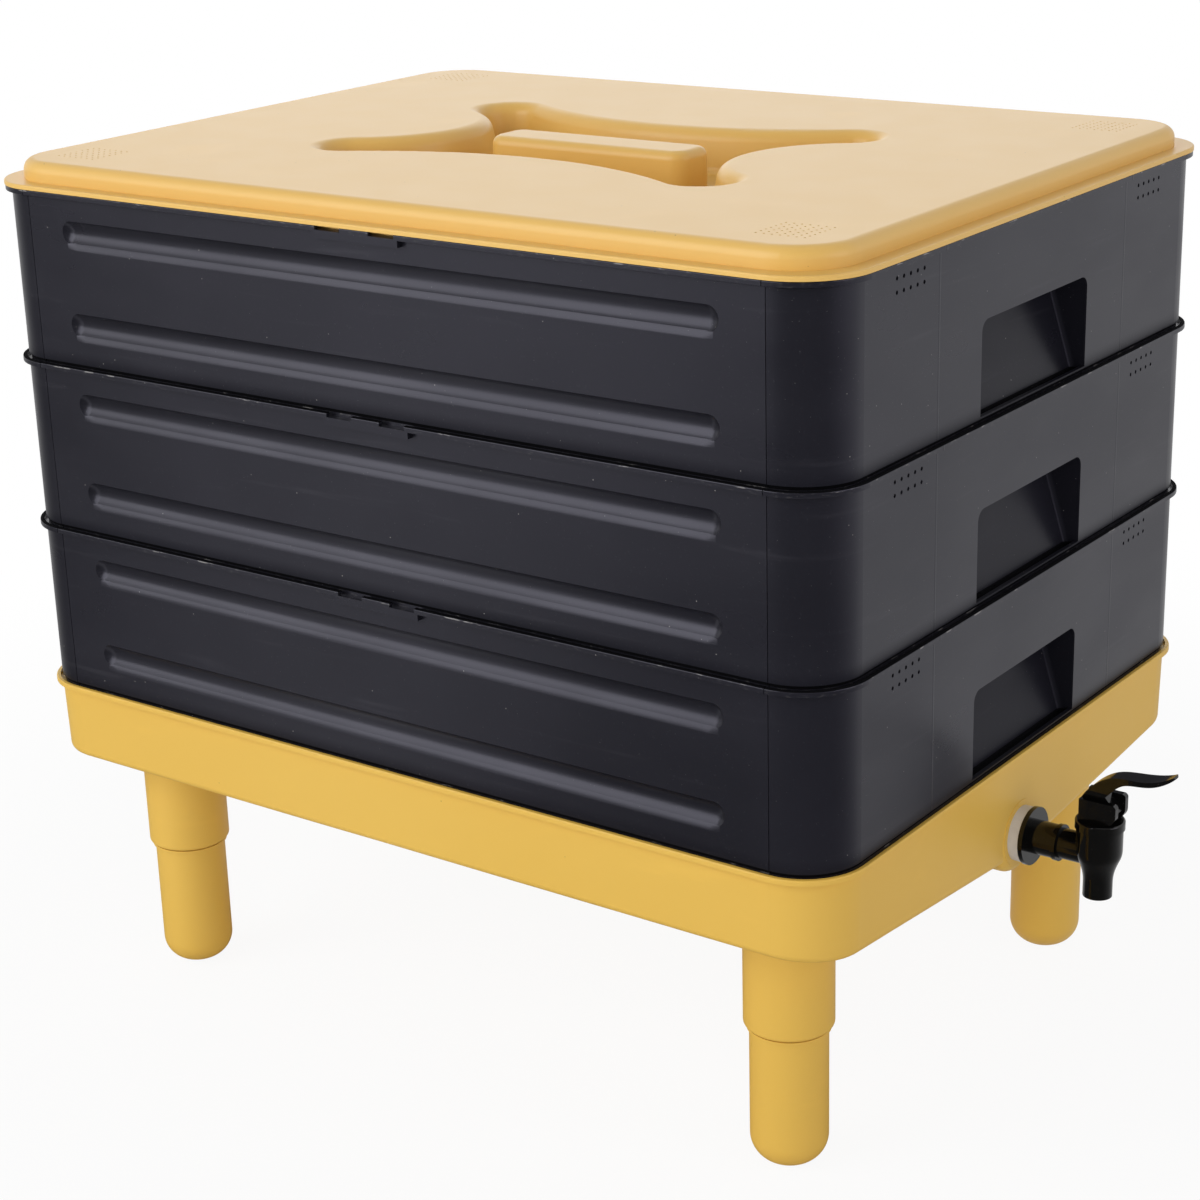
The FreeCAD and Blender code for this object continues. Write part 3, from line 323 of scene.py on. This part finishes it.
def yellow_plastic(name, colour, deep, roughness, coat=0.0):
    """Satin mustard plastic: slow tone drift, faint rubbed marks, a little dust and a very fine grain."""
    plastic = Plastic(name, colour, roughness)
    plastic.shader.inputs["Coat Weight"].default_value = coat
    plastic.shader.inputs["Coat Roughness"].default_value = 0.3
    plastic.blend_colour(plastic.patches(4.0, low=0.35, high=0.75, share=0.5), deep)
    rubbed = plastic.patches(55.0, low=0.60, high=0.78, share=0.25, detail=5.0, across=0.3)
    plastic.blend_colour(rubbed, shade(colour, 1.12))
    plastic.blend_colour(plastic.specks(90.0, radius=0.0004, share=0.35), shade(colour, 0.45))
    plastic.set_roughness(plastic.uneven(40.0, least=roughness - YELLOW_DRIFT, most=roughness + YELLOW_DRIFT))
    plastic.grain(2500.0, strength=0.12, depth=0.00004)
    plastic.grain(8.0, strength=0.06, depth=0.0004, detail=1.0)
    return plastic.material


def worn_lips(plastic, rise):
    """Grime on each tray's lip, and pale chafing along its upper edge."""
    lip = plastic.steps(rise, LIP_HEIGHT, LIP_HEIGHT + GRIME_SOFTNESS, 1.0, 0.0)
    grime = plastic.patches(900.0, low=0.52, high=0.75, share=0.35, detail=4.0, across=0.3)
    plastic.blend_colour(plastic.times(lip, grime), GRIME)
    edge = plastic.band(rise, *CHAFED_EDGE, BAND_SOFTNESS)
    chafed = plastic.patches(260.0, low=0.60, high=0.68, share=0.8, detail=4.0, across=0.35)
    plastic.blend_colour(plastic.times(edge, chafed), CHAFED_PLASTIC)


def charcoal_plastic():
    """Satin charcoal plastic: streaks, worn lips, dust, painted shade in the joints, on each foot and in the
    recesses, and moulding lines.
    """
    plastic = Plastic("tray_charcoal", CHARCOAL, roughness=0.31)
    plastic.shader.inputs["Specular Tint"].default_value = (*CHARCOAL_GLOSS, 1.0)
    plastic.blend_colour(plastic.patches(8.0, low=0.35, high=0.70, share=0.7, detail=3.0), CHARCOAL_DRIFT)
    streaks = plastic.patches(160.0, low=0.60, high=0.80, share=0.35, detail=4.0, across=0.07)
    plastic.blend_colour(streaks, CHARCOAL_STREAK)
    plastic.blend_colour(plastic.patches(700.0, low=0.62, high=0.80, share=0.5, detail=3.0), CHARCOAL_GRAIN)

    # The rise above the foot of the last lip below, which is the same for each tray
    trays_up = plastic.math("DIVIDE", plastic.math("SUBTRACT", plastic.z, LIP_FOOT_Z), PITCH)
    rise = plastic.times(plastic.math("FRACT", trays_up), PITCH)
    along = plastic.math("ABSOLUTE", plastic.math("SUBTRACT", plastic.x, STACK_CENTRE.x))
    across = plastic.math("ABSOLUTE", plastic.y)

    worn_lips(plastic, rise)
    plastic.blend_colour(plastic.specks(120.0, radius=0.00036, share=0.50), LARGE_DUST)
    plastic.blend_colour(plastic.specks(320.0, radius=0.00016, share=0.50), SMALL_DUST)
    # Painted shade: the joint between trays (the rim's top and the next tray's foot step) is painted near
    # black, rough and dull, where it lies in shadow
    joint_shade = plastic.band(rise, *SHADED_JOINT, BAND_SOFTNESS)
    plastic.blend_colour(plastic.times(joint_shade, 0.9), JOINT_SHADE_BLACK)

    # Painted shade: reflections are dimmed on each tray's foot above the joint and deep in the finger
    # recesses
    foot = plastic.steps(rise, SHADED_JOINT[1], FOOT_SHADE_TOP, 1.0, 0.0)
    foot = plastic.times(foot, plastic.math("GREATER_THAN", rise, LIP_HEIGHT))
    recess = plastic.band(along, WALL_X - RECESS_FAR, WALL_X - RECESS_NEAR, RECESS_SOFTNESS)
    recess = plastic.times(recess, plastic.math("LESS_THAN", across, RECESS_Y))
    satin = plastic.uneven(25.0, least=0.27, most=0.36, detail=4.0, across=0.4)
    plastic.set_roughness(plastic.math("MAXIMUM", satin, plastic.times(joint_shade, 0.95)))
    painted_shade = plastic.strongest((joint_shade, 0.84), (foot, 0.7), (recess, 0.75))
    plastic.set_specular(plastic.math("SUBTRACT", PLAIN_SPECULAR, plastic.times(painted_shade, PLAIN_SPECULAR)))

    plastic.grain(2200.0, strength=0.15, depth=0.00005)
    plastic.grain(10.0, strength=0.10, depth=0.0008, detail=1.0)
    seam = plastic.band(across, SEAM_Y - SEAM_HALF_WIDTH, SEAM_Y + SEAM_HALF_WIDTH, SEAM_HALF_WIDTH)
    plastic.bump(seam, strength=0.3, depth=0.0002)
    return plastic.material


def gloss_black():
    """Polished black plastic with a few specks."""
    plastic = Plastic("tap_black", TAP_BLACK, roughness=0.14, specular=0.38)
    plastic.blend_colour(plastic.specks(420.0, radius=0.00018, share=0.5), TAP_DUST)
    plastic.set_roughness(plastic.uneven(160.0, least=0.06, most=0.15))
    plastic.grain(90.0, strength=0.05, depth=0.0002)
    return plastic.material


def blotchy_plastic(name, colour, roughness):
    """Soft rubber or natural plastic, a little blotchy."""
    plastic = Plastic(name, colour, roughness)
    plastic.blend_colour(plastic.patches(120.0, low=0.4, high=0.7, share=0.4), shade(colour, 0.8))
    plastic.grain(900.0, strength=0.2, depth=0.0001)
    return plastic.material


def steel_wire():
    """Drawn spring wire."""
    plastic = Plastic("spring_wire", STEEL, roughness=0.3)
    plastic.shader.inputs["Metallic"].default_value = 1.0
    plastic.set_roughness(plastic.uneven(300.0, least=0.22, most=0.40))
    plastic.grain(700.0, strength=0.1, depth=0.0001)
    return plastic.material


def paint(material, *names):
    """Gives CAD nodes a material."""
    for name in names:
        mesh = nodes[name].data
        mesh.materials.clear()
        mesh.materials.append(material)


def group(prefix):
    """The names of the CAD nodes that start with a prefix."""
    return sorted(name for name in nodes if name.startswith(prefix))


def as_object(shape, name):
    """Turns a finished bmesh into an object in the scene."""
    mesh = bpy.data.meshes.new(name)
    shape.to_mesh(mesh)
    shape.free()
    return link(bpy.data.objects.new(name, mesh))


def hole_cutter(centre, top):
    """Upright cylinders through the lid's roof, in a square field near each corner."""
    shape = bmesh.new()
    for side_x in (-1, 1):
        for side_y in (-1, 1):
            for column in range(HOLE_ROWS):
                for row in range(HOLE_ROWS):
                    x = centre.x + side_x * (HOLES_X + column * HOLE_PITCH)
                    y = centre.y + side_y * (HOLES_Y + row * HOLE_PITCH)
                    place = Matrix.Translation((x, y, top))
                    size = {"radius1": HOLE_RADIUS, "radius2": HOLE_RADIUS, "depth": HOLE_CUT}
                    bmesh.ops.create_cone(shape, cap_ends=True, segments=HOLE_SIDES, matrix=place, **size)
    return as_object(shape, "hole_cutter")


def roll_ring(shape, side, x, share, level):
    """One closed outline of the bar at x, with its depth into the wall cut down to a share."""
    first, *_, last = ROLL_SECTION
    ring = []
    for depth, height in ((-ROLL_OUTSIDE, first[1]), *ROLL_SECTION, (-ROLL_OUTSIDE, last[1])):
        inwards = depth * share if depth > 0 else depth
        ring.append(shape.verts.new((STACK_CENTRE.x + x, side * (WALL_Y - inwards), level + height)))
    return ring


def roll_bar(shape, side, level):
    """One long bar that rounds off a groove's lower edge, shallower towards its ends."""
    full = ROLL_END - ROLL_FADE
    stations = ((-ROLL_END, ROLL_END_SHARE), (-full, 1.0), (full, 1.0), (ROLL_END, ROLL_END_SHARE))
    rings = [roll_ring(shape, side, x, share, level) for x, share in stations]
    for ring, following in zip(rings, rings[1:]):
        for index in range(len(ring)):
            after = (index + 1) % len(ring)
            shape.faces.new((ring[index], ring[after], following[after], following[index]))
    shape.faces.new(rings[0][::-1])
    shape.faces.new(rings[-1])


def roll_cutter(tray, side):
    """The bars for both grooves of one long wall."""
    shape = bmesh.new()
    for edge in GROOVE_EDGES:
        roll_bar(shape, side, LIP_FOOT_Z + (tray - 2) * PITCH + edge)
    bmesh.ops.triangulate(shape, faces=shape.faces)
    if shape.calc_volume(signed=True) < 0:
        bmesh.ops.reverse_faces(shape, faces=shape.faces)
    return as_object(shape, "roll_cutter")


def flat_round(face, taken):
    """The faces that make one flat with this one, apart from those already taken."""
    flat = [face]
    taken.add(face.index)
    for here in flat:
        for edge in here.edges:
            for other in edge.link_faces:
                if other.index not in taken and other.normal.dot(face.normal) > FLAT_COSINE:
                    taken.add(other.index)
                    flat.append(other)
    return flat


def flat_areas(shape):
    """For each face, the area of the flat that it is part of."""
    areas = {}
    taken = set()
    for face in shape.faces:
        if face.index not in taken:
            flat = flat_round(face, taken)
            total = sum(part.calc_area() for part in flat)
            areas.update({part.index: total for part in flat})
    return areas


def even_normals(mesh):
    """Smooth shading in which a wide flat keeps its own normal right up to its rounded edges."""
    shape = bmesh.new()
    shape.from_mesh(mesh)
    shape.faces.index_update()
    areas = flat_areas(shape)
    normals = []
    for face in shape.faces:
        for corner in face.loops:
            total = Vector()
            for other in corner.vert.link_faces:
                if other.normal.dot(face.normal) > SHARP_COSINE:
                    total += other.normal * areas[other.index]
            normals.append(total.normalized())
    shape.free()
    for face in mesh.polygons:
        face.use_smooth = True
    mesh.normals_split_custom_set(normals)


def carved(node, body, cutter, name, material):
    """A CAD node again with a cutter's shape taken off. If the cut fails, the CAD node stays."""
    shape = bmesh.new()
    shape.from_mesh(nodes[node].data)
    bmesh.ops.remove_doubles(shape, verts=shape.verts, dist=WELD)
    draft = as_object(shape, "draft")
    cut = draft.modifiers.new("cut", "BOOLEAN")
    cut.operation = "DIFFERENCE"
    cut.solver = "EXACT"
    cut.object = cutter
    mesh = bpy.data.meshes.new_from_object(draft.evaluated_get(bpy.context.evaluated_depsgraph_get()))
    bpy.data.objects.remove(cutter)
    bpy.data.objects.remove(draft)
    if len(mesh.polygons) < len(nodes[node].data.polygons):
        return
    even_normals(mesh)
    mesh.materials.clear()
    mesh.materials.append(material)
    piece = link(bpy.data.objects.new(name, mesh))
    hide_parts(node)
    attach(piece, body)


def pierced_lid(material):
    """The lid with its four fields of air holes."""
    cutter = hole_cutter((lid_low + lid_high) / 2, lid_high.z)
    carved("lid", "lid", cutter, "lid_with_air_holes", material)


def rolled_panels(material):
    """The trays' long panels with rolled lower edges to their grooves."""
    for tray in (1, 2, 3):
        for side, word in ((-1, "front"), (1, "back")):
            body = f"tray_{tray}"
            node = f"{body}_panel_{word}"
            carved(node, body, roll_cutter(tray, side), f"{node}_rolled", material)


def looking_rays(graph):
    """Light Path's camera and transmission rays as one socket, and its glossy rays as another."""
    path = graph.node("ShaderNodeLightPath")
    seen = graph.math("MAXIMUM", path.outputs["Is Camera Ray"], path.outputs["Is Transmission Ray"])
    return seen, path.outputs["Is Glossy Ray"]


def floor_material():
    """White that glows for the eye and in reflections, less on the dark side, and keeps the shadow."""
    material = bpy.data.materials.new("floor_white")
    material.use_nodes = True
    graph = Graph(material.node_tree)
    shader = graph.tree.nodes["Principled BSDF"]
    shader.inputs["Base Color"].default_value = (FLOOR_COLOUR, FLOOR_COLOUR, FLOOR_COLOUR, 1.0)
    shader.inputs["Roughness"].default_value = 0.9
    shader.inputs["Specular IOR Level"].default_value = 0.0
    place = graph.node("ShaderNodeNewGeometry").outputs["Position"]
    away = graph.vector_math("SUBTRACT", place, STACK_CENTRE).outputs["Vector"]
    heading = graph.vector_math("NORMALIZE", away).outputs["Vector"]
    distance = graph.vector_math("LENGTH", away).outputs["Value"]
    dark = graph.steps(graph.towards(heading, DARK_SIDE_DEG), -0.60, 0.45, to_low=0.68, to_high=0.09)
    glow = graph.steps(graph.towards(heading, GLOW_DEG), 0.970, 1.0, to_high=0.80)
    glow = graph.times(glow, graph.steps(distance, 0.6, 1.6, to_low=0.55))
    mirrored = graph.math("ADD", dark, glow)
    seen, glossy = looking_rays(graph)
    fade = graph.steps(distance, 0.30, 0.90, to_low=0.92)
    share = graph.math("ADD", graph.times(seen, fade), glossy)
    emission = graph.node("ShaderNodeEmission")
    graph.feed(emission.inputs["Strength"], graph.math("ADD", seen, graph.times(glossy, mirrored)))
    mix = graph.node("ShaderNodeMixShader")
    graph.feed(mix.inputs["Fac"], share)
    graph.feed(mix.inputs[1], shader.outputs[0])
    graph.feed(mix.inputs[2], emission.outputs[0])
    graph.feed(graph.tree.nodes["Material Output"].inputs["Surface"], mix.outputs[0])
    return material


def studio_floor():
    """A wide square floor under the legs."""
    reach = FLOOR_REACH
    corners = [(-reach, -reach, 0), (reach, -reach, 0), (reach, reach, 0), (-reach, reach, 0)]
    mesh = bpy.data.meshes.new("floor")
    mesh.from_pydata(corners, [], [(0, 1, 2, 3)])
    mesh.materials.append(floor_material())
    floor = link(bpy.data.objects.new("floor", mesh))


def studio_world():
    """A white room for the eye, dimmer towards the dark side in reflections, and plain for lighting."""
    world = bpy.data.worlds.new("studio")
    bpy.context.scene.world = world
    world.use_nodes = True
    graph = Graph(world.node_tree)
    graph.tree.nodes.clear()
    heading = graph.node("ShaderNodeTexCoord").outputs["Generated"]
    mirrored = graph.steps(graph.towards(heading, DARK_SIDE_DEG), -0.30, 0.60, to_low=1.0, to_high=0.15)
    seen, glossy = looking_rays(graph)
    rest = graph.math("SUBTRACT", graph.math("SUBTRACT", 1.0, seen), glossy)
    looked = graph.math("ADD", seen, graph.times(glossy, mirrored))
    background = graph.node("ShaderNodeBackground", Color=(*WHITE, 1.0))
    graph.feed(background.inputs["Strength"], graph.math("ADD", looked, graph.times(rest, WORLD_LIGHT)))
    output = graph.node("ShaderNodeOutputWorld")
    graph.feed(output.inputs["Surface"], background.outputs[0])


def lamp(name, place, size, power, aim=LAMP_AIM, colour=WHITE, mirrored=True):
    """A soft square lamp, which shows in reflections only if it is mirrored."""
    data = bpy.data.lights.new(name, "AREA")
    data.shape = "SQUARE"
    data.size = size
    data.energy = power
    data.color = colour
    obj = link(bpy.data.objects.new(name, data))
    obj.location = place
    obj.rotation_euler = (Vector(aim) - Vector(place)).to_track_quat("-Z", "Y").to_euler()
    obj.visible_camera = False
    obj.visible_glossy = mirrored


def camera():
    """The photograph's viewpoint."""
    turn = math.radians(CAMERA_TURN_DEG)
    rise = math.radians(CAMERA_RISE_DEG)
    back = Vector((math.sin(turn) * math.cos(rise), -math.cos(turn) * math.cos(rise), math.sin(rise)))
    data = bpy.data.cameras.new("camera")
    data.sensor_width = SENSOR_MM
    data.sensor_fit = "HORIZONTAL"
    data.lens = LENS_MM
    obj = link(bpy.data.objects.new("camera", data))
    facing = (-back).to_track_quat("-Z", "Y").to_matrix().to_4x4()
    roll = Matrix.Rotation(math.radians(CAMERA_ROLL_DEG), 4, "Z")
    obj.matrix_world = Matrix.Translation(CAMERA_TARGET + back * CAMERA_DISTANCE) @ facing @ roll
    bpy.context.scene.camera = obj


lid_yellow = yellow_plastic("lid_yellow", LID_YELLOW, LID_DEEP_YELLOW, roughness=0.48, coat=0.3)
base_yellow = yellow_plastic("base_yellow", BASE_YELLOW, BASE_DEEP_YELLOW, roughness=0.46)
tray_charcoal = charcoal_plastic()
paint(lid_yellow, "lid")
paint(base_yellow, "collector_base", *group("leg_"))
paint(tray_charcoal, *group("tray_"))
paint(gloss_black(), "tap_body", "tap_bonnet", "tap_lever", "tap_nut")
paint(blotchy_plastic("washer_grey", WASHER_GREY, roughness=0.45), "tap_washer_1", "tap_washer_2")
paint(blotchy_plastic("seat_rubber", SEAT_BLACK, roughness=0.6), "tap_seat_cup")
paint(blotchy_plastic("stem_white", STEM_WHITE, roughness=0.4), "tap_stem")
paint(steel_wire(), "tap_spring")
pierced_lid(lid_yellow)
rolled_panels(tray_charcoal)

studio_floor()
studio_world()
lamp("key", place=(-1.25, -2.25, 1.35), size=2.2, power=42.0)
lamp("back", place=(-1.4, 1.9, 1.2), size=1.8, power=8.5, aim=(0.0, 0.0, 0.45))
lamp("side", place=(2.4, 0.1, 1.0), size=1.4, power=9.8, colour=COOL_WHITE)
lamp("fill", place=(1.5, -2.0, 0.6), size=1.6, power=12.5, aim=(0.0, 0.0, 0.15), mirrored=False)
camera()
bpy.context.scene.view_settings.view_transform = "Standard"
